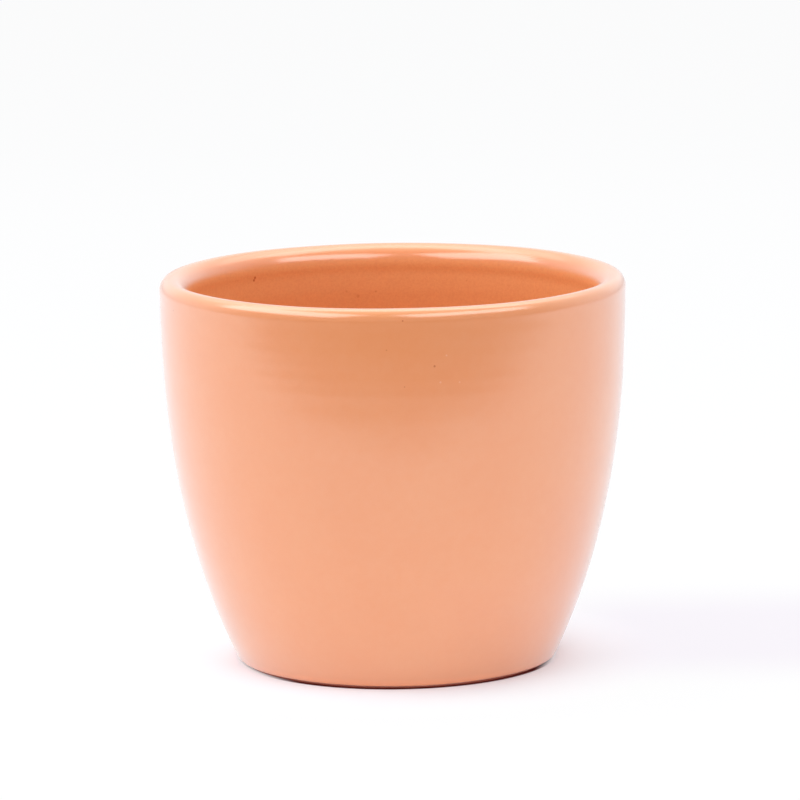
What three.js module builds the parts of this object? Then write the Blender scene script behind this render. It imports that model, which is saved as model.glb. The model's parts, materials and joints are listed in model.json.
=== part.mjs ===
// Glazed plant pot: one fired clay body and the satin glaze coat that is melted onto it.
// Millimetres, +Z up. The origin is on the pot's axis, in the plane that the foot ring stands on.
import * as THREE from "three";

// Finished sizes, measured over the glaze
const rimDiameter = 120; // outside of the rim
const potHeight = 100; // from the foot ring's face to the crest of the rim

// Clay body
const wallThickness = 6; // the same from the rim to the floor's fillet
const rimFlare = 1.6; // degrees that the wall leans out where the rim begins
const rimCrown = 2.7; // rise of the rim's outer side, from the wall to the crest
const crestInset = 2.1; // from the wall's outer side in to the crest
const rimDrop = 5.5; // fall of the rim's inner side, from the crest to the wall
const heelDiameter = 82; // across the lower end of the wall
const heelFlare = 25.5; // degrees that the wall leans out above the heel
const heelRound = 0.2; // radius between the wall and the underside
const bellyReach = 44.5; // how far up the heel's lean shapes the wall
const shoulderReach = 13.2; // how far down the rim's lean shapes the wall
const floorThickness = 6; // from the inside floor down to the recess
const floorFillet = 12; // inside corner between wall and floor

// Bare foot ring under the body
const footInset = 0.75; // from the heel's underside in to the ring
const footDraft = 0.2; // slope of the ring's outer side
const footWidth = 6; // face that the pot stands on
const recessDepth = 2; // hollow inside the ring
const recessSlope = 2; // run of the hollow's sloping edge

// Glaze coat over the outside, the rim and the inside
const glazeThickness = 0.5;
const bondGap = 0.02; // keeps glaze and clay apart as two solids
const glazeClearance = 0.63; // from the glaze's lower edge to the ground

// Facets of each stretch of the outline, and round the axis
const steps = { lip: 4, heel: 2, wall: 10, rimOutside: 4, rimInside: 6, inside: 7, fillet: 4 };
const turnSteps = 64;

const bodyMaterial = new THREE.MeshStandardMaterial({
  name: "bare_clay",
  color: 0xc9855c,
  roughness: 0.9,
  metalness: 0,
});
const glazeMaterial = new THREE.MeshStandardMaterial({
  name: "satin_glaze",
  color: 0xe59a70,
  roughness: 0.42,
  metalness: 0,
});

// The outline is drawn in the plane of radius (x) and height (y). It runs from the heel
// up the outside, over the rim, down the inside and along the floor to the axis.
const coat = bondGap + glazeThickness;
const underside = glazeClearance + coat;
const rimLean = THREE.MathUtils.degToRad(rimFlare);
const heelLean = THREE.MathUtils.degToRad(heelFlare);

const leaning = (angle) => new THREE.Vector2(Math.sin(angle), Math.cos(angle));
const outOfClay = (along) => new THREE.Vector2(along.y, -along.x);
const moved = (point, along, distance) => point.clone().addScaledVector(along, distance);

// Heel: the wall starts where the rounding off the underside ends
const wallFoot = new THREE.Vector2(
  heelDiameter / 2,
  underside + heelRound * (1 - Math.sin(heelLean)),
);
const heelCentre = moved(wallFoot, outOfClay(leaning(heelLean)), -heelRound);
const heel = new THREE.EllipseCurve(
  heelCentre.x, heelCentre.y, heelRound, heelRound, -Math.PI / 2, -heelLean,
);

// Rim's outer side: a quarter of an ellipse on a level half axis and one that leans with the
// wall. With the coat on, it reaches the finished height and diameter.
const outerAcross = new THREE.Vector2(crestInset, 0);
const outerUp = leaning(rimLean).multiplyScalar(rimCrown);
const outerCentre = new THREE.Vector2(
  rimDiameter / 2 - coat - Math.hypot(crestInset, outerUp.x),
  potHeight - coat - outerUp.y,
);
const crest = outerCentre.clone().add(outerUp);

// Wall: one curve from the heel to the rim's outer side
const wallTop = outerCentre.clone().add(outerAcross);
const wall = new THREE.CubicBezierCurve(
  wallFoot,
  moved(wallFoot, leaning(heelLean), bellyReach),
  moved(wallTop, leaning(rimLean), -shoulderReach),
  wallTop,
);

// Inside: the wall's parallel at its thickness, from the rim's inner side down to the fillet
const floorLevel = recessDepth + floorThickness;
const parallelToWall = (at, distance) =>
  moved(wall.getPoint(at), outOfClay(wall.getTangent(at)), -distance);

// Place on the wall where a height that grows up the wall passes zero
function whereOnWall(heightAt) {
  let low = 0;
  let high = 1;
  for (let halvings = 0; halvings < 50; halvings++) {
    const middle = (low + high) / 2;
    if (heightAt(middle) < 0) low = middle;
    else high = middle;
  }
  return low;
}

// Rim's inner side: a quarter of a larger ellipse, from the crest to the wall's parallel
const insideStart = whereOnWall(
  (at) => parallelToWall(at, wallThickness).y + rimDrop * wall.getTangent(at).y - crest.y,
);
const innerUp = wall.getTangent(insideStart).multiplyScalar(rimDrop);
const innerCentre = crest.clone().sub(innerUp);
const innerAcross = new THREE.Vector2(
  innerCentre.x - parallelToWall(insideStart, wallThickness).x,
  0,
);

// Fillet: touches the wall's parallel and the floor
const filletReach = wallThickness + floorFillet;
const insideEnd = whereOnWall(
  (at) => parallelToWall(at, filletReach).y - floorLevel - floorFillet,
);
const filletCentre = parallelToWall(insideEnd, filletReach);
const filletAngle = outOfClay(wall.getTangent(insideEnd)).angle();
const fillet = new THREE.EllipseCurve(
  filletCentre.x, filletCentre.y, floorFillet, floorFillet, filletAngle, -Math.PI / 2, true,
);

// A station is a point of the outline with the direction in which the outline runs there
const stationsOn = (curve, count) =>
  Array.from({ length: count + 1 }, (_, i) => ({
    point: curve.getPoint(i / count),
    along: curve.getTangent(i / count),
  }));

// Centre plus one half axis times the cosine and the other times the sine, over a quarter turn
const quarterStations = (centre, across, up, start, count) =>
  Array.from({ length: count + 1 }, (_, i) => {
    const turn = start + ((i / count) * Math.PI) / 2;
    return {
      point: moved(moved(centre, across, Math.cos(turn)), up, Math.sin(turn)),
      along: moved(up.clone().multiplyScalar(Math.cos(turn)), across, -Math.sin(turn)).normalize(),
    };
  });

const insideStations = Array.from({ length: steps.inside + 1 }, (_, i) => {
  const at = THREE.MathUtils.lerp(insideStart, insideEnd, i / steps.inside);
  return { point: parallelToWall(at, wallThickness), along: wall.getTangent(at).negate() };
});

// Neighbouring stretches share an end, which the later one leaves out
const outline = [
  ...stationsOn(heel, steps.heel),
  ...stationsOn(wall, steps.wall).slice(1),
  ...quarterStations(outerCentre, outerAcross, outerUp, 0, steps.rimOutside).slice(1),
  ...quarterStations(innerCentre, innerAcross, innerUp, Math.PI / 2, steps.rimInside).slice(1),
  ...insideStations.slice(1),
  ...stationsOn(fillet, steps.fillet).slice(1),
  { point: new THREE.Vector2(0, floorLevel), along: new THREE.Vector2(-1, 0) },
];

const outlineAt = (distance) =>
  outline.map(({ point, along }) => moved(point, outOfClay(along), distance));

// Foot ring and recess, from the axis out to the heel
const footOuter = heelCentre.x - footInset;
const footInner = footOuter - footWidth;
const footProfile = [
  new THREE.Vector2(0, recessDepth),
  new THREE.Vector2(footInner - recessSlope, recessDepth),
  new THREE.Vector2(footInner, 0),
  new THREE.Vector2(footOuter, 0),
  new THREE.Vector2(footOuter + footDraft, underside),
];

// Lower edge of the glaze, rolled to a round lip under the heel
const lipCentre = moved(outline[0].point, outOfClay(outline[0].along), bondGap + glazeThickness / 2);
const lip = new THREE.EllipseCurve(
  lipCentre.x, lipCentre.y, glazeThickness / 2, glazeThickness / 2, Math.PI / 2, (3 * Math.PI) / 2,
);
const lipProfile = lip.getPoints(steps.lip).slice(1, -1);

const clayProfile = [...footProfile, ...outlineAt(0)];
const glazeProfile = [...outlineAt(bondGap).reverse(), ...lipProfile, ...outlineAt(coat)];

function turnedPiece(name, profile, material) {
  const piece = new THREE.Mesh(new THREE.LatheGeometry(profile, turnSteps), material);
  piece.name = name;
  return piece;
}

const pot = new THREE.Group();
pot.rotation.x = Math.PI / 2; // the pieces are turned about Y, and the pot stands on Z
pot.add(
  turnedPiece("clay_body", clayProfile, bodyMaterial),
  turnedPiece("glaze_coat", glazeProfile, glazeMaterial),
);

export default pot;
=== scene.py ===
# Satin-glazed plant pot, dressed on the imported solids: glaze coat, clay body, stage, lamps and camera
import json

import bpy
import numpy as np
from mathutils import Matrix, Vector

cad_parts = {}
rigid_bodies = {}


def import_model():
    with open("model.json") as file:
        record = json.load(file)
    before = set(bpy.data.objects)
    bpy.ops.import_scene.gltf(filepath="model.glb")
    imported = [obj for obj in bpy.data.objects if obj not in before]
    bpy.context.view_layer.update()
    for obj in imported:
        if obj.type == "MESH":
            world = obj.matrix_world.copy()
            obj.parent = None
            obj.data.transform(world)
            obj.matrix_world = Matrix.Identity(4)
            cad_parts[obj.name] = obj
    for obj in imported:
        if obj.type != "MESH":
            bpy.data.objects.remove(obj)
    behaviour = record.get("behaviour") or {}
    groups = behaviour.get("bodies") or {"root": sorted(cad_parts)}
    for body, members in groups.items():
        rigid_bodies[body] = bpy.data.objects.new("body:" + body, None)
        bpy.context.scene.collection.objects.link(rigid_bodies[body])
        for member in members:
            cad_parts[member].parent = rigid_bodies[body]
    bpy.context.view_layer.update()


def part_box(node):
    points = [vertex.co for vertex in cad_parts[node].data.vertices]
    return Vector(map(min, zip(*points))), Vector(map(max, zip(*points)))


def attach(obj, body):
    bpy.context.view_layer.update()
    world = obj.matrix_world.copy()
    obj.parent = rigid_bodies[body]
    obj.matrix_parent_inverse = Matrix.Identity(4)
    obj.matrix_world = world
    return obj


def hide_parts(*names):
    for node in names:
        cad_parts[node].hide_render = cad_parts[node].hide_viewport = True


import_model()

scene = bpy.context.scene
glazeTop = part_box("glaze_coat")[1]
mm = 1000  # in a metre
print("frame loaded: pot", round(2 * mm * glazeTop.x, 1), "mm across,", round(mm * glazeTop.z, 1), "mm high")


# Shape of the pot, in metres and degrees, as the solids have it
potShape = {
    "rimRadius": glazeTop.x,
    "height": glazeTop.z,
    "floorTop": 0.008,          # clay floor inside
    "wall": 0.006,              # clay alone
    "rimFlare": 1.6,            # lean of the wall at the rim
    "rimCrown": 0.0027,         # rise of the rim's outer side
    "crestInset": 0.0021,       # from the wall's outer side in to the crest
    "rimDrop": 0.0055,          # fall of the rim's inner side
    "heelRadius": 0.041,
    "heelFlare": 25.5,          # lean of the wall at the heel
    "heelRound": 0.0002,
    "bellyReach": 0.0445,       # how far up the heel's lean shapes the wall
    "shoulderReach": 0.0132,    # how far down the rim's lean shapes it
    "floorFillet": 0.012,
    "glaze": 0.0005,
    "bond": 0.00002,            # between glaze and clay
    "glazeClearance": 0.00063,  # glaze's lower edge to the ground
}
coat = potShape["glaze"] + potShape["bond"]
underside = potShape["glazeClearance"] + coat
level = np.array([1.0, 0.0])
upright = np.array([0.0, 1.0])

turnCount = 288       # facets round the axis
turnAngles = np.linspace(0, 2 * np.pi, turnCount, endpoint=False)  # from the front, towards +X
insideCrowding = 1.6  # power that brings the inside's stations closer together under the rim
wallSamples = 4001    # places on the wall's curve, among which the inside's two ends are looked up


# Each vector divided by its length
def unit(vectors):
    return vectors / np.linalg.norm(vectors, axis=-1, keepdims=True)


# Each direction turned a quarter to the right, which is out of the clay all along the outline
def outOf(along):
    return np.stack([along[..., 1], -along[..., 0]], -1)


# Direction that leans out from the vertical by an angle in degrees
def leaning(degrees):
    return np.array([np.sin(np.radians(degrees)), np.cos(np.radians(degrees))])


# Centre plus one half axis times cosine and the other times sine, with the direction in which it runs
def ellipseArc(centre, across, up, start, end, count):
    a = np.linspace(start, end, count)[:, None]
    spot = centre + across * np.cos(a) + up * np.sin(a)
    return spot, unit(np.sign(end - start) * (up * np.cos(a) - across * np.sin(a)))


# Cubic curve on four control points, with the direction in which it runs
def cubicCurve(controls, u):
    a, b, c, d = controls
    u = np.asarray(u)[:, None]
    v = 1 - u
    spot = v**3 * a + 3 * v**2 * u * b + 3 * v * u**2 * c + u**3 * d
    run = v**2 * (b - a) + 2 * v * u * (c - b) + u**2 * (d - c)
    return spot, unit(run)


# Outline of the clay in radius and height: heel, wall, the rim's two sides, the wall's parallel inside,
# fillet and floor
def clayOutline(shape, counts):
    heelLean, rimLean = leaning(shape["heelFlare"]), leaning(shape["rimFlare"])
    heelRound, fillet = shape["heelRound"], shape["floorFillet"]
    wallFoot = np.array([shape["heelRadius"], underside + heelRound * (1 - heelLean[0])])
    heelCentre = wallFoot - heelRound * outOf(heelLean)
    outerAcross, outerUp = shape["crestInset"] * level, shape["rimCrown"] * rimLean
    outerCentre = np.array([
        shape["rimRadius"] - coat - np.hypot(shape["crestInset"], outerUp[0]),
        shape["height"] - coat - outerUp[1],
    ])
    crest = outerCentre + outerUp
    wallTop = outerCentre + outerAcross
    controls = [
        wallFoot,
        wallFoot + shape["bellyReach"] * heelLean,
        wallTop - shape["shoulderReach"] * rimLean,
        wallTop,
    ]
    # the inside starts one rim drop below the crest, and ends where the fillet touches the wall's parallel
    u = np.linspace(0, 1, wallSamples)
    spot, run = cubicCurve(controls, u)
    reach = shape["wall"] + fillet
    rimEnds = spot - shape["wall"] * outOf(run) + shape["rimDrop"] * run
    filletCentres = spot - reach * outOf(run)
    insideFrom = np.interp(crest[1], rimEnds[:, 1], u)
    insideTo = np.interp(shape["floorTop"] + fillet, filletCentres[:, 1], u)
    closer = np.linspace(0, 1, counts["inside"]) ** insideCrowding
    spot, run = cubicCurve(controls, insideFrom + (insideTo - insideFrom) * closer)
    inside = spot - shape["wall"] * outOf(run)
    innerUp = shape["rimDrop"] * run[0]
    innerCentre = crest - innerUp
    innerAcross = (innerCentre[0] - inside[0, 0]) * level
    filletCentre = spot[-1] - reach * outOf(run[-1])
    filletAngle = np.arctan2(*outOf(run[-1])[::-1])
    floor = np.linspace(filletCentre[0], 0, counts["floor"])
    stretches = [
        ellipseArc(heelCentre, heelRound * level, heelRound * upright,
                   -np.pi / 2, -np.radians(shape["heelFlare"]), counts["heel"]),
        cubicCurve(controls, np.linspace(0, 1, counts["wall"])),
        ellipseArc(outerCentre, outerAcross, outerUp, 0, np.pi / 2, counts["rimOutside"]),
        ellipseArc(innerCentre, innerAcross, innerUp, np.pi / 2, np.pi, counts["rimInside"]),
        (inside, -run),
        ellipseArc(filletCentre, fillet * level, fillet * upright,
                   filletAngle, -np.pi / 2, counts["fillet"]),
        (np.stack([floor, np.full_like(floor, shape["floorTop"])], -1), np.tile(-level, (len(floor), 1))),
    ]
    # neighbouring stretches share an end, which the later one leaves out
    spots = np.concatenate([stretches[0][0]] + [s[1:] for s, _ in stretches[1:]])
    runs = np.concatenate([stretches[0][1]] + [r[1:] for _, r in stretches[1:]])
    return spots, runs


# Slow random waves along the outline and in whole turns round the axis, scaled to a spread of one
def slowWaves(length, shortest, longest, mostTurns, seed, count=26):
    rng = np.random.default_rng(seed)
    pitch = rng.uniform(shortest, longest, count)[:, None, None]
    turns = rng.integers(0, mostTurns + 1, count)[:, None, None]
    phase = rng.uniform(0, 2 * np.pi, count)[:, None, None]
    waves = np.sin(2 * np.pi * length[None, :, None] / pitch + turns * turnAngles + phase)
    return waves.sum(0) / np.sqrt(count / 2)


# Distance along a path: the running sum of its steps' lengths
def runLength(spots):
    steps = np.linalg.norm(np.diff(spots, axis=0), axis=1)
    return np.concatenate([[0.0], np.cumsum(steps)])


# Each outline point goes out along its normal by lift, then round the axis: r sin a, minus r cos a, z
def carriedRound(spots, runs, lift):
    out = outOf(runs)
    r = spots[:, :1] + out[:, :1] * lift
    z = spots[:, 1:] + out[:, 1:] * lift + 0 * turnAngles
    return np.stack([r * np.sin(turnAngles), -r * np.cos(turnAngles), z], -1)


# Quads between neighbouring rings, and a fan of triangles to the point on the axis at each end
def closedLathe(name, grid):
    rings = len(grid) - 2
    spots = np.concatenate([grid[0, :1], grid[1:-1].reshape(-1, 3), grid[-1, :1]])
    here = np.arange(turnCount)
    there = np.roll(here, -1)
    ring = 1 + turnCount * np.arange(rings)[:, None]
    low, high = ring[:-1], ring[1:]
    quads = np.stack([low + here, low + there, high + there, high + here], -1).reshape(-1, 4)
    firstFan = np.stack([0 * here, 1 + there, 1 + here], -1)
    lastFan = np.stack([ring[-1] + here, ring[-1] + there, 0 * here + len(spots) - 1], -1)
    fans = np.concatenate([firstFan, lastFan])
    corners = np.concatenate([quads.ravel(), fans.ravel()])
    starts = np.concatenate([4 * np.arange(len(quads)), quads.size + 3 * np.arange(len(fans))])
    return meshObject(name, spots, corners, starts)


# Mesh from whole arrays: places of the vertices, corners of the faces in turn, and where each face starts
def meshObject(name, spots, corners, starts):
    mesh = bpy.data.meshes.new(name)
    mesh.vertices.add(len(spots))
    mesh.vertices.foreach_set("co", spots.astype(np.float32).ravel())
    mesh.loops.add(len(corners))
    mesh.loops.foreach_set("vertex_index", corners.astype(np.int32))
    mesh.polygons.add(len(starts))
    mesh.polygons.foreach_set("loop_start", starts.astype(np.int32))
    mesh.polygons.foreach_set("use_smooth", np.ones(len(starts), bool))
    mesh.update(calc_edges=True)
    mesh.validate()
    piece = bpy.data.objects.new(name, mesh)
    scene.collection.objects.link(piece)
    return piece


# Number on each vertex, for a material to read: one value per ring, the same all round
def ringAttribute(piece, name, values):
    spread = np.concatenate([values[:1], np.repeat(values[1:-1], turnCount), values[-1:]])
    attribute = piece.data.attributes.new(name, "FLOAT", "POINT")
    attribute.data.foreach_set("value", spread.astype(np.float32))


# Glaze coat: the clay's outline moved out by the coat, back along the bond, with a rolled lip under the heel
glazeCoat = {
    "counts": {
        "heel": 7, "wall": 84, "rimOutside": 24, "rimInside": 34, "inside": 62, "fillet": 18, "floor": 8,
    },
    "hiddenCounts": {
        "heel": 4, "wall": 24, "rimOutside": 9, "rimInside": 13, "inside": 16, "fillet": 9, "floor": 5,
    },
    "lipSteps": 9,
    "waveHeight": 0.000018,   # slow unevenness of the melted glaze
    "wavePitch": (0.012, 0.05),
    "waveTurns": 9,
    "ringHeight": 0.000009,   # forming rings that show through it
    "ringPitch": (0.003, 0.009),
    "ringTurns": 1,
    "calmRadius": 0.004,      # the waves die out towards the axis
    "grooveHeight": 0.0926,   # shallow forming groove inside, under the rim
    "grooveReach": 0.0022,
    "grooveDepth": 0.00025,
    "dryFrom": 0.0043,        # past the crest, where the drier inside begins
    "dryOver": 0.0018,
    "seed": 11,
}


def makeGlazeCoat():
    look = glazeCoat
    spots, runs = clayOutline(potShape, look["counts"])
    length = runLength(spots)
    waves = slowWaves(length, *look["wavePitch"], look["waveTurns"], look["seed"])
    rings = slowWaves(length, *look["ringPitch"], look["ringTurns"], look["seed"] + 1)
    calm = np.clip(spots[:, :1] / look["calmRadius"], 0, 1)
    crest = int(np.argmax(spots[:, 1]))
    # a bell curve in height, on the inside alone
    groove = np.exp(-(((spots[:, 1:] - look["grooveHeight"]) / look["grooveReach"]) ** 2))
    groove[:crest] = 0
    lift = calm * (look["waveHeight"] * waves + look["ringHeight"] * rings) - look["grooveDepth"] * groove
    outer = carriedRound(spots, runs, coat + lift)
    hiddenSpots, hiddenRuns = clayOutline(potShape, look["hiddenCounts"])
    bonded = carriedRound(hiddenSpots[::-1], hiddenRuns[::-1], potShape["bond"])
    half = potShape["glaze"] / 2
    lipCentre = spots[0] + outOf(runs[0]) * (potShape["bond"] + half)
    lipSpots, lipRuns = ellipseArc(
        lipCentre, half * level, half * upright, np.pi / 2, 3 * np.pi / 2, look["lipSteps"]
    )
    lip = carriedRound(lipSpots[1:-1], lipRuns[1:-1], 0.0)
    piece = closedLathe("glaze_shell", np.concatenate([bonded, lip, outer]))
    inside = np.clip((length - length[crest] - look["dryFrom"]) / look["dryOver"], 0, 1)
    inside = inside**2 * (3 - 2 * inside)  # three squares less two cubes
    ringAttribute(piece, "inside", np.concatenate([np.zeros(len(bonded) + len(lip)), inside]))
    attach(piece, "root")
    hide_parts("glaze_coat")
    print("glaze coat:", len(piece.data.polygons), "faces")
    return piece


# Clay body: foot ring and recess with eased edges, then the outline that the glaze covers
clayBody = {
    "counts": {
        "heel": 4, "wall": 30, "rimOutside": 10, "rimInside": 14, "inside": 22, "fillet": 12, "floor": 6,
    },
    "footInset": 0.00075,
    "footDraft": 0.0002,
    "footWidth": 0.006,
    "recessDepth": 0.002,
    "recessSlope": 0.002,
    "recessFillet": 0.0012,
    "easedEdge": 0.00035,     # radius on the ring's inner edge
    "wornEdge": 0.00012,      # radius on its outer edge and at its root
    "easedSteps": 7,
    "longestStep": 0.0011,
    "turnedRings": 0.000035,  # height of the tool's rings in the recess
    "ringPitch": 0.0023,
    "wanderPitch": (0.02, 0.06),
    "wanderTurns": 2,
    "wander": 0.5,            # how far the rings stray, in radians
    "calmRadius": 0.003,      # the rings die out towards the axis
    "seed": 23,
}


# Path whose corners are arcs that touch both sides: each arc is swept between the two touching points
def easedPath(corners, radii, steps):
    pieces = [corners[:1]]
    for before, corner, after, radius in zip(corners[:-2], corners[1:-1], corners[2:], radii):
        back, on = unit(before - corner), unit(after - corner)
        halfAngle = np.arccos(np.clip(back @ on, -1, 1)) / 2
        centre = corner + unit(back + on) * radius / np.sin(halfAngle)
        first = corner + back * radius / np.tan(halfAngle) - centre
        last = corner + on * radius / np.tan(halfAngle) - centre
        t = np.linspace(0, 1, steps)[:, None]
        swept = np.pi - 2 * halfAngle
        pieces.append(centre + (np.sin((1 - t) * swept) * first + np.sin(t * swept) * last) / np.sin(swept))
    return np.concatenate(pieces + [corners[-1:]])


# The same path with extra points, so that no step is longer than a given one. Lengths that agree to the
# given decimals make one point.
def finer(path, longest, decimals=7):
    length = runLength(path)
    extra = np.arange(0, length[-1], longest)
    at = np.unique(np.concatenate([length, extra]).round(decimals))
    return np.stack([np.interp(at, length, path[:, 0]), np.interp(at, length, path[:, 1])], -1)


def makeClayBody():
    look = clayBody
    spots, runs = clayOutline(potShape, look["counts"])
    footOuter = spots[0, 0] - look["footInset"]
    footInner = footOuter - look["footWidth"]
    recess = look["recessDepth"]
    corners = np.array([
        [0.0, recess],
        [footInner - look["recessSlope"], recess],
        [footInner, 0.0],
        [footOuter, 0.0],
        [footOuter + look["footDraft"], underside],
        spots[0],
    ])
    radii = [look[k] for k in ("recessFillet", "easedEdge", "wornEdge", "wornEdge")]
    path = easedPath(corners, radii, look["easedSteps"])
    foot = finer(path, look["longestStep"])[:-1]
    footRuns = unit(np.gradient(foot, axis=0))
    inRecess = np.clip(2 * foot[:, 1:] / recess - 1, 0, 1)  # none on the lower half of the slope
    wander = slowWaves(runLength(foot), *look["wanderPitch"], look["wanderTurns"], look["seed"])
    rings = np.sin(2 * np.pi * foot[:, :1] / look["ringPitch"] + look["wander"] * wander)
    calm = np.clip(foot[:, :1] / look["calmRadius"], 0, 1)
    lift = look["turnedRings"] * inRecess * calm * rings
    grid = np.concatenate([carriedRound(foot, footRuns, lift), carriedRound(spots, runs, 0.0)])
    piece = closedLathe("clay_core", grid)
    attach(piece, "root")
    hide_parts("clay_body")
    print("clay body:", len(piece.data.polygons), "faces")
    return piece


# A socket in a node tree: arithmetic on it adds Math nodes, and node adds any other kind, settings first
class Wire:
    def __init__(self, tree, socket=None):
        self.tree = tree
        self.socket = socket

    def node(self, kind, settings={}, sockets={}, out=0):
        made = self.tree.nodes.new("ShaderNode" + kind)
        for key, value in settings.items():
            setattr(made, key, value)
        for key, value in sockets.items():
            if isinstance(value, Wire):
                self.tree.links.new(value.socket, made.inputs[key])
            else:
                made.inputs[key].default_value = value
        return Wire(self.tree, made.outputs[out] if made.outputs else None)

    def maths(self, operation, first, second):
        return self.node("Math", {"operation": operation}, {0: first, 1: second})

    def __add__(self, other):
        return self.maths("ADD", self, other)

    def __radd__(self, other):
        return self.maths("ADD", other, self)

    def __sub__(self, other):
        return self.maths("SUBTRACT", self, other)

    def __rsub__(self, other):
        return self.maths("SUBTRACT", other, self)

    def __mul__(self, other):
        return self.maths("MULTIPLY", self, other)

    def __rmul__(self, other):
        return self.maths("MULTIPLY", other, self)

    def __neg__(self):
        return self.maths("MULTIPLY", self, -1.0)


# Soft step from 0 at low to 1 at high
def ramp(value, low, high):
    sockets = {"Value": value, "From Min": low, "From Max": high}
    return value.node("MapRange", {"interpolation_type": "SMOOTHSTEP"}, sockets)


# Noise in object space, in features per metre, less its middle value of a half
def grain(place, perMetre, detail, roughness):
    sockets = {"Vector": place, "Scale": perMetre, "Detail": detail, "Roughness": roughness}
    return place.node("TexNoise", {}, sockets) - 0.5


# A Mix node has its colours on sockets 6 and 7, and their blend on output 2
def blendColour(share, first, second):
    return share.node("Mix", {"data_type": "RGBA"}, {0: share, 6: first, 7: second}, 2)


def newMaterial(name):
    material = bpy.data.materials.new(name)
    material.use_nodes = True
    material.node_tree.nodes.clear()
    return material, Wire(material.node_tree)


def finishMaterial(wire, shader):
    wire.node("OutputMaterial", {}, {"Surface": shader})


# Satin glaze: faintly cloudy terracotta colour, orange peel outside, a drier sandy inside, a few specks
satinGlaze = {
    "colour": (0.795, 0.266, 0.087, 1),
    "paleColour": (0.806, 0.293, 0.108, 1),
    # painted reflection: the rim's colour is a golden tint for the warm light it reflects
    "paintedRimReflection": (0.80, 0.293, 0.096, 1),
    "rimRise": (0.0978, 0.0992),   # heights between which the colour turns to the rim's
    # painted light: a brighter red near the glaze's lower edge, where the wall darkens next to the floor
    "paintedBaseLight": (0.90, 0.29, 0.095, 1),
    "edgeRise": (0.0009, 0.0030),  # and between which it turns from the lower edge's
    "insideColour": (0.788, 0.315, 0.112, 1),
    "sandColour": (0.62, 0.17, 0.06, 1),
    "speckColour": (0.46, 0.07, 0.006, 1),
    "chalkColour": (0.93, 0.55, 0.37, 1),
    "roughness": 0.2,
    "cloudRoughness": 0.03,        # how much the clouds change it
    "insideRoughness": 0.6,
    "ior": 1.66,
    "specular": 0.97,
    "sheen": 0.65,
    "sheenRoughness": 0.5,
    "sheenTint": (0.82, 0.93, 1.0, 1),
    # features per metre, detail and roughness of each noise
    "cloud": (55, 3.0, 0.5),
    "mottle": (420, 3.0, 0.5),
    "fine": (2600, 2.0, 0.5),
    "sand": (1500, 4.0, 0.7),
    "peel": (900, 2.0, 0.5),
    "cloudShare": 0.9,             # of each noise in the turn to the pale colour
    "mottleShare": 0.5,
    "fineShare": 0.35,
    "paleRise": (-0.4, 0.5),
    "sandRise": (-0.15, 0.2),
    "sandShare": 0.28,
    "peelHeight": 0.5,
    "sandHeight": 1.6,
    "bumpStrength": 0.35,
    "bumpDistance": 0.00006,
    # azimuth from the front in degrees, height and radius in mm, strength
    "darkSpecks": [
        (9.8, 85.7, 0.34, 0.7), (2.3, 97.3, 0.26, 0.6), (-1.6, 90.0, 0.24, 0.4),
        (2.6, 80.7, 0.22, 0.5), (-68.3, 94.7, 0.3, 0.5),
    ],
    "paleSpecks": [(11.2, 81.6, 0.3, 0.35), (15.9, 81.4, 0.26, 0.3), (12.7, 88.3, 0.26, 0.4)],
    "insideSpecks": [
        (-136.75, 93.75, 0.5, 0.8), (-136.35, 93.1, 0.5, 0.85), (158.0, 90.8, 0.3, 0.35),
        (120.8, 92.7, 0.33, 0.4), (-175.1, 87.6, 0.35, 0.32), (-166.5, 87.9, 0.35, 0.25),
        (-169.9, 86.5, 0.55, 0.3),
    ],
    "speckEdge": (0.5, 1.1),       # shares of the radius between which a speck fades
}


# Radius of the glazed surface at a height, outside or inside the rim's crest
def glazedRadius(height, inside):
    spots, runs = clayOutline(potShape, glazeCoat["counts"])
    surface = spots + coat * outOf(runs)
    crest = int(np.argmax(surface[:, 1]))
    side = surface[crest:][::-1] if inside else surface[: crest + 1]
    return float(np.interp(height, side[:, 1], side[:, 0]))


# Each speck is a soft ball about a point of the surface
def speckMask(place, specks, inside):
    full, gone = satinGlaze["speckEdge"]
    total = None
    for azimuth, height, radius, strength in specks:
        a = np.radians(azimuth)
        z = height / mm
        r = glazedRadius(z, inside)
        spot = (r * np.sin(a), -r * np.cos(a), z)
        far = place.node("VectorMath", {"operation": "DISTANCE"}, {0: place, 1: spot}, "Value")
        mask = (1 - ramp(far, full * radius / mm, gone * radius / mm)) * strength
        total = mask if total is None else total + mask
    return total


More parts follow.
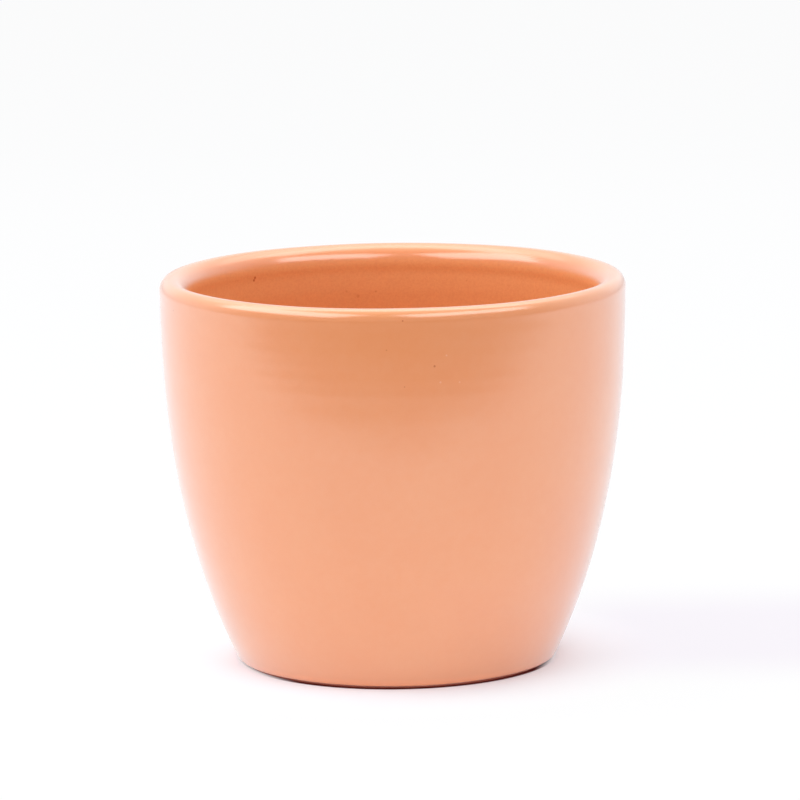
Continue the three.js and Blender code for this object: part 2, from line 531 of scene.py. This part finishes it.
def makeSatinGlaze():
    look = satinGlaze
    material, wire = newMaterial("satin_glaze")
    place = wire.node("TexCoord", out="Object")
    inside = wire.node("Attribute", {"attribute_name": "inside"}, out="Fac")
    cloud, mottle, fine, sand = (grain(place, *look[k]) for k in ("cloud", "mottle", "fine", "sand"))
    share = cloud * look["cloudShare"] + mottle * look["mottleShare"] + fine * look["fineShare"]
    colour = blendColour(ramp(share, *look["paleRise"]), look["colour"], look["paleColour"])
    height = wire.node("SeparateXYZ", {}, {0: place}, "Z")
    # painted reflection: the colour turns to a golden tint on the rim
    colour = blendColour(ramp(height, *look["rimRise"]), colour, look["paintedRimReflection"])
    # painted light: brighter red towards the glaze's lower edge, against the darkening next to the floor
    colour = blendColour(ramp(height, *look["edgeRise"]), look["paintedBaseLight"], colour)
    colour = blendColour(speckMask(place, look["darkSpecks"], False), colour, look["speckColour"])
    colour = blendColour(speckMask(place, look["paleSpecks"], False), colour, look["chalkColour"])
    bump = {"Strength": look["bumpStrength"], "Distance": look["bumpDistance"]}
    peel = grain(place, *look["peel"]) * look["peelHeight"]
    smooth = wire.node("BsdfPrincipled", {}, {
        "Base Color": colour,
        "Roughness": look["roughness"] + cloud * look["cloudRoughness"],
        "Normal": wire.node("Bump", {}, {**bump, "Height": peel}),
        "IOR": look["ior"],
        "Specular IOR Level": look["specular"],
        "Sheen Weight": look["sheen"],
        "Sheen Roughness": look["sheenRoughness"],
        "Sheen Tint": look["sheenTint"],
    })
    dark = ramp(sand, *look["sandRise"]) * look["sandShare"]
    inner = blendColour(dark, look["insideColour"], look["sandColour"])
    inner = blendColour(speckMask(place, look["insideSpecks"], True), inner, look["speckColour"])
    dry = wire.node("BsdfPrincipled", {}, {
        "Base Color": inner,
        "Roughness": look["insideRoughness"],
        "Normal": wire.node("Bump", {}, {**bump, "Height": peel + sand * look["sandHeight"]}),
    })
    finishMaterial(wire, wire.node("MixShader", {}, {0: inside, 1: smooth, 2: dry}))
    return material


# Bare fired clay: sandy terracotta with darker grog, a paler dusty face on the ring, and a redder colour
# painted as shade on the ring's outer face, in the gap under the glaze's edge
bareClay = {
    "colour": (0.47, 0.19, 0.095, 1),
    "paleColour": (0.60, 0.29, 0.17, 1),
    "grogColour": (0.26, 0.10, 0.055, 1),
    # painted shade: a redder colour on the ring's outer face, for the shaded gap under the glaze's edge
    "paintedGapShade": (0.60, 0.15, 0.095, 1),
    "paintedGapFrom": (0.0392, 0.0397),   # distances from the axis between which it sets in
    "roughness": 0.85,
    "sandRoughness": 0.1,            # how much the sand changes it
    # features per metre, detail and roughness of each noise
    "cloud": (90, 3.0, 0.5),
    "sand": (1800, 4.0, 0.7),
    "grog": (1100, 1.0, 0.5),
    "sandShare": 0.8,                # of the sand beside the clouds
    "paleRise": (-0.35, 0.35),
    "paleShare": 0.7,
    "dustRise": (0.0001, 0.0005),    # heights between which the dust ends
    "dustShare": 0.3,
    "grogRise": (0.2, 0.3),
    "grogShare": 0.7,
    "grogHeight": 0.6,
    "bumpStrength": 0.6,
    "bumpDistance": 0.00012,
}


def makeBareClay():
    look = bareClay
    material, wire = newMaterial("bare_clay")
    place = wire.node("TexCoord", out="Object")
    cloud, sand, grog = (grain(place, *look[k]) for k in ("cloud", "sand", "grog"))
    height = wire.node("SeparateXYZ", {}, {0: place}, "Z")
    dusty = 1 - ramp(height, *look["dustRise"])
    pale = ramp(cloud + sand * look["sandShare"], *look["paleRise"])
    share = pale * look["paleShare"] + dusty * look["dustShare"]
    colour = blendColour(share, look["colour"], look["paleColour"])
    colour = blendColour(ramp(grog, *look["grogRise"]) * look["grogShare"], colour, look["grogColour"])
    beside = wire.node("VectorMath", {"operation": "MULTIPLY"}, {0: place, 1: (1, 1, 0)})
    fromAxis = wire.node("VectorMath", {"operation": "LENGTH"}, {0: beside}, "Value")
    # painted shade: redder beyond this distance from the axis, in the gap under the glaze's edge
    colour = blendColour(ramp(fromAxis, *look["paintedGapFrom"]), colour, look["paintedGapShade"])
    bump = wire.node("Bump", {}, {
        "Strength": look["bumpStrength"],
        "Distance": look["bumpDistance"],
        "Height": sand + grog * look["grogHeight"],
    })
    shader = wire.node("BsdfPrincipled", {}, {
        "Base Color": colour,
        "Roughness": look["roughness"] + sand * look["sandRoughness"],
        "Normal": bump,
    })
    finishMaterial(wire, shader)
    return material


# Stage: a white sheet under the pot that darkens towards its front edge, as painted shade. The camera sees it
# shaded near the pot and almost plain white further out, and reflections see it white where it isn't dark.
# Its colour also holds painted shade right under the pot's edge and to the pot's right. Distances are from
# the axis, in metres.
stageSheet = {
    "front": -0.5,
    "halfSize": 3.0,
    "paper": (0.86, 0.90, 0.98, 1),
    # painted shade: the paper turns dark towards the sheet's front edge, and sooner far from the pot
    "paintedFrontShade": (0.15, 0.16, 0.18, 1),
    "darkFrom": -0.38,                # depth at which the sheet is darkest
    "paleFrom": -0.12,                # and at which it begins to darken
    "farFrom": 0.17,                  # distance from which it darkens sooner
    "farShare": 0.25,                 # and by how much
    "white": (0.99, 0.99, 0.99, 1),
    "shadedTo": 0.041,                # distance up to which the camera sees the shaded paper alone
    "whiteFrom": 0.073,               # and from which it sees the most white
    "whiteShare": 0.94,
    # painted shade: a deep reddish colour on the sheet right under the pot's edge
    "paintedContactShade": (0.17, 0.036, 0.036, 1),
    "contactEnd": (0.0412, 0.0418),   # distances over which the deep shade under the pot's edge ends
    "contactLeft": (0.024, 0.038),    # and how far to each side it fades
    "contactRight": (0.035, 0.0415),
    # painted light: white takes the place of the shade under the pot's edge at its sides
    "sideShare": 0.3,                 # white in its place there
    # painted shade to the pot's right, in the white the camera sees
    "paintedShadeColour": (0.94, 0.905, 0.955, 1),
    "shadeAcross": (0.03, 0.065),     # where the soft shade to the pot's right begins and is full
    "shadeDeep": (-0.045, 0.0),
    "shadeEnd": (0.04, 0.09),         # and where it ends, in depth and across
    "shadeGone": (0.11, 0.2),
    "glossFrom": (0.039, 0.05),       # distances over which the sheet turns white in gloss
    "glossShade": (0.0, 0.045),       # where the shade at the pot's right foot begins and is full in gloss
    "glossShadeEnd": (0.055, 0.095),
}
stageRays = ("Is Camera Ray", "Is Glossy Ray", "Is Transmission Ray")


# The sheet is a flat grid of two steps each way
def makeStage():
    look = stageSheet
    sideways = np.array([-look["halfSize"], 0.0, look["halfSize"]])
    deep = np.array([look["front"], 0.0, look["halfSize"]])
    x, y = np.meshgrid(sideways, deep)
    grid = np.stack([x, y, 0 * x], -1)
    index = np.arange(x.size).reshape(x.shape)
    quads = np.stack([index[:-1, :-1], index[:-1, 1:], index[1:, 1:], index[1:, :-1]], -1).reshape(-1, 4)
    sheet = meshObject("stage_sheet", grid.reshape(-1, 3), quads.ravel(), 4 * np.arange(len(quads)))
    material, wire = newMaterial("white_sheet")
    place = wire.node("TexCoord", out="Object")
    far = wire.node("VectorMath", {"operation": "LENGTH"}, {0: place}, "Value")
    across, depth = (wire.node("SeparateXYZ", {}, {0: place}, axis) for axis in ("X", "Y"))
    camera, glossy, clear = (wire.node("LightPath", out=ray) for ray in stageRays)
    beyond = wire.maths("MAXIMUM", far - look["farFrom"], 0.0)
    pale = ramp(depth - beyond * look["farShare"], look["darkFrom"], look["paleFrom"])
    under = 1 - ramp(far, *look["contactEnd"])
    aside = ramp(-across, *look["contactLeft"]) + ramp(across, *look["contactRight"])
    # painted shade towards the front edge and far out
    colour = blendColour(pale, look["paintedFrontShade"], look["paper"])
    # painted shade under the pot's edge, fading at the pot's sides
    colour = blendColour(under * (1 - aside), colour, look["paintedContactShade"])
    paper = wire.node("BsdfDiffuse", {}, {"Color": colour})
    # painted shade: the white the camera sees turns lavender to the pot's right
    shade = ramp(across, *look["shadeAcross"]) * ramp(depth, *look["shadeDeep"])
    shade = shade * (1 - ramp(depth, *look["shadeEnd"])) * (1 - ramp(across, *look["shadeGone"]))
    white = wire.node("Emission", {}, {"Color": blendColour(shade, look["white"], look["paintedShadeColour"])})
    sockets = {"Value": far, "From Min": look["shadedTo"], "From Max": look["whiteFrom"]}
    away = wire.node("MapRange", {}, sockets)
    # at the pot's sides the camera sees painted white under the pot's edge
    seen = away * look["whiteShare"] + under * aside * look["sideShare"]
    shaded = ramp(across, *look["glossShade"]) * (1 - ramp(far, *look["glossShadeEnd"]))
    mirrored = pale * ramp(far, *look["glossFrom"]) * (1 - shaded)
    share = camera * seen + (glossy + clear) * mirrored
    finishMaterial(wire, wire.node("MixShader", {}, {0: share, 1: paper, 2: white}))
    material.cycles.emission_sampling = "NONE"
    sheet.data.materials.append(material)
    print("stage: sheet", round(2 * look["halfSize"], 2), "m wide")


# Placement whose columns are the three axes and the place
def placement(right, up, back, spot):
    return Matrix([[right[i], up[i], back[i], spot[i]] for i in range(3)] + [[0, 0, 0, 1]])


# Soft boxes: azimuth from the front towards +X and elevation in degrees, the rest in metres and watts. The
# fills don't show in the gloss.
softBoxes = {
    "leftBox": {"azimuth": -65, "elevation": 46, "wide": 1.15, "tall": 0.54, "watts": 5.5, "shows": True},
    "rightBox": {"azimuth": 43, "elevation": 46, "wide": 1.02, "tall": 0.43, "watts": 3.7, "shows": True},
    "overheadBox": {"azimuth": 180, "elevation": 77, "wide": 1.3, "tall": 0.4, "watts": 3.0, "shows": True},
    "highLeftFill": {"azimuth": -95, "elevation": 62, "wide": 0.6, "tall": 0.4, "watts": 1.1, "shows": False},
    "lowLeftFill": {"azimuth": -55, "elevation": 5, "wide": 0.9, "tall": 0.3, "watts": 1.2, "shows": False},
    "lowFrontFill": {"azimuth": 0, "elevation": 4, "wide": 1.2, "tall": 0.25, "watts": 1.1, "shows": False},
    "lowRightFill": {"azimuth": 55, "elevation": 5, "wide": 0.9, "tall": 0.3, "watts": 1.4, "shows": False},
    "backTopBox": {"azimuth": 180, "elevation": 57, "wide": 1.6, "tall": 0.4, "watts": 1.7, "shows": True},
    "backLowBox": {"azimuth": 180, "elevation": 20, "wide": 1.8, "tall": 0.4, "watts": 0.5, "shows": True},
}
lampDistance = 1.0
aimedAt = np.array([0.0, 0.0, 0.06])


# A lamp shines along its own minus Z, so its Z axis points from the pot to the lamp
def makeSoftBox(name, box):
    a, e = np.radians(box["azimuth"]), np.radians(box["elevation"])
    back = np.array([np.sin(a) * np.cos(e), -np.cos(a) * np.cos(e), np.sin(e)])
    across = np.array([np.cos(a), np.sin(a), 0.0])
    light = bpy.data.lights.new(name, "AREA")
    light.shape = "RECTANGLE"
    light.size, light.size_y = box["wide"], box["tall"]
    light.energy = box["watts"]
    lamp = bpy.data.objects.new(name, light)
    lamp.matrix_world = placement(across, np.cross(back, across), back, aimedAt + lampDistance * back)
    lamp.visible_camera = False
    lamp.visible_glossy = box["shows"]
    scene.collection.objects.link(lamp)


# World: as pale as the sheet to the camera. For the rest, it is bright behind the pot and overhead, dim in
# front of it and dark below. The directions run from minus one to one.
roomLight = {
    "colour": (1, 1, 1, 1),
    "shown": 0.935,            # to the camera
    "back": 0.8,
    "front": 0.24,
    "top": 0.8,
    "depth": (-0.35, 0.35),    # from front to back
    "rise": (0.85, 1.0),       # from the sides to the top
    "ground": (-0.04, 0.04),   # from below to the sides
}


def makeRoom():
    look = roomLight
    world = bpy.data.worlds.new("room")
    scene.world = world
    world.use_nodes = True
    world.node_tree.nodes.clear()
    wire = Wire(world.node_tree)
    direction = wire.node("TexCoord", out="Generated")
    depth, height = (wire.node("SeparateXYZ", {}, {0: direction}, axis) for axis in ("Y", "Z"))
    around = look["front"] + ramp(depth, *look["depth"]) * (look["back"] - look["front"])
    glow = around + ramp(height, *look["rise"]) * (look["top"] - around)
    glow = glow * ramp(height, *look["ground"])
    seen = wire.node("LightPath", out="Is Camera Ray")
    strength = seen * look["shown"] + (1 - seen) * glow
    light = wire.node("Background", {}, {"Color": look["colour"], "Strength": strength})
    wire.node("OutputWorld", {}, {"Surface": light})
    print("room lit")


# Camera: stands in front of the pot, looks down on it, and is rolled a little
viewPoint = {
    "distance": 1.3713,
    "height": 0.304564,
    "lookDown": 9.8223,
    "lookRight": 0.0667,
    "roll": -0.6622,
    "focalPixels": 5382.83,
    "framePixels": 800,
    "sensor": 36.0,
    "clipEnd": 20,
}


# The view's direction is turned down and aside, and the frame is then turned about it by the roll
def makeCamera():
    look = viewPoint
    down, aside, roll = (np.radians(look[k]) for k in ("lookDown", "lookRight", "roll"))
    forward = np.array([np.sin(aside) * np.cos(down), np.cos(aside) * np.cos(down), -np.sin(down)])
    sideways = np.array([np.cos(aside), -np.sin(aside), 0.0])
    overhead = np.cross(sideways, forward)
    right = np.cos(roll) * sideways + np.sin(roll) * overhead
    up = np.cos(roll) * overhead - np.sin(roll) * sideways
    lens = bpy.data.cameras.new("camera")
    lens.sensor_width = look["sensor"]
    lens.lens = look["focalPixels"] / look["framePixels"] * look["sensor"]
    lens.clip_end = look["clipEnd"]
    camera = bpy.data.objects.new("camera", lens)
    camera.matrix_world = placement(right, up, -forward, (0.0, -look["distance"], look["height"]))
    scene.collection.objects.link(camera)
    scene.camera = camera
    print("camera: lens", round(lens.lens, 1), "mm")


makeCamera()
glaze = makeGlazeCoat()
clay = makeClayBody()
glaze.data.materials.append(makeSatinGlaze())
clay.data.materials.append(makeBareClay())
print("materials made")
makeStage()
for name, box in softBoxes.items():
    makeSoftBox(name, box)
print("soft boxes:", len(softBoxes))
makeRoom()

scene.view_settings.view_transform = "Standard"
